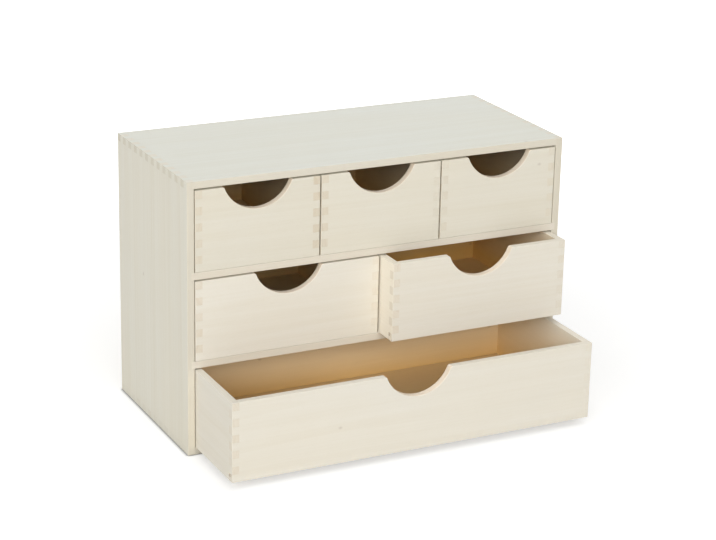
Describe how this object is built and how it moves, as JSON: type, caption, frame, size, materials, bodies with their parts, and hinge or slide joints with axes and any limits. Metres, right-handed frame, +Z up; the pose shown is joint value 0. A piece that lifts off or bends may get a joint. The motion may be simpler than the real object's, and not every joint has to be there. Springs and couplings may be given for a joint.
{
  "type": "desktop mini drawers",
  "caption": "Tabletop chest of untreated wooden drawers: a finger-jointed open-fronted cabinet with shelves, and box drawers that slide out by a round finger pull cut in each front.",
  "frame": {"origin": "middle of the cabinet's underside", "axes": "+X to the right as the drawers are faced, -Y the way the drawers open, +Z up"},
  "size_m": [0.39, 0.261, 0.265],
  "materials": {
    "cabinet_wood": "pale untreated solid board, sanded, edges lightly eased",
    "drawer_wood": "pale untreated solid board, sanded, end grain a little darker",
    "thin_panel": "thin pale plywood, untreated"
  },
  "bodies": {
    "cabinet": {"cabinet_top": "cabinet_wood", "cabinet_bottom": "cabinet_wood", "cabinet_left_side": "cabinet_wood", "cabinet_right_side": "cabinet_wood", "cabinet_back": "thin_panel", "upper_shelf": "cabinet_wood", "lower_shelf": "cabinet_wood"},
    "top_left_drawer": {"top_left_drawer_front": "drawer_wood", "top_left_drawer_back": "drawer_wood", "top_left_drawer_left_side": "drawer_wood", "top_left_drawer_right_side": "drawer_wood", "top_left_drawer_floor": "thin_panel"},
    "top_centre_drawer": {"top_centre_drawer_front": "drawer_wood", "top_centre_drawer_back": "drawer_wood", "top_centre_drawer_left_side": "drawer_wood", "top_centre_drawer_right_side": "drawer_wood", "top_centre_drawer_floor": "thin_panel"},
    "top_right_drawer": {"top_right_drawer_front": "drawer_wood", "top_right_drawer_back": "drawer_wood", "top_right_drawer_left_side": "drawer_wood", "top_right_drawer_right_side": "drawer_wood", "top_right_drawer_floor": "thin_panel"},
    "middle_left_drawer": {"middle_left_drawer_front": "drawer_wood", "middle_left_drawer_back": "drawer_wood", "middle_left_drawer_left_side": "drawer_wood", "middle_left_drawer_right_side": "drawer_wood", "middle_left_drawer_floor": "thin_panel"},
    "middle_right_drawer": {"middle_right_drawer_front": "drawer_wood", "middle_right_drawer_back": "drawer_wood", "middle_right_drawer_left_side": "drawer_wood", "middle_right_drawer_right_side": "drawer_wood", "middle_right_drawer_floor": "thin_panel"},
    "bottom_drawer": {"bottom_drawer_front": "drawer_wood", "bottom_drawer_back": "drawer_wood", "bottom_drawer_left_side": "drawer_wood", "bottom_drawer_right_side": "drawer_wood", "bottom_drawer_floor": "thin_panel"}
  },
  "joints": [
    {"name": "top_left_drawer_slide", "type": "slide", "parent": "cabinet", "child": "top_left_drawer", "axis": [0, -1, 0], "range_m": [0, 0.14]},
    {"name": "top_centre_drawer_slide", "type": "slide", "parent": "cabinet", "child": "top_centre_drawer", "axis": [0, -1, 0], "range_m": [0, 0.14]},
    {"name": "top_right_drawer_slide", "type": "slide", "parent": "cabinet", "child": "top_right_drawer", "axis": [0, -1, 0], "range_m": [0, 0.14]},
    {"name": "middle_left_drawer_slide", "type": "slide", "parent": "cabinet", "child": "middle_left_drawer", "axis": [0, -1, 0], "range_m": [0, 0.14]},
    {"name": "middle_right_drawer_slide", "type": "slide", "parent": "cabinet", "child": "middle_right_drawer", "axis": [0, -1, 0], "range_m": [-0.027, 0.113]},
    {"name": "bottom_drawer_slide", "type": "slide", "parent": "cabinet", "child": "bottom_drawer", "axis": [0, -1, 0], "range_m": [-0.085, 0.055]}
  ]
}
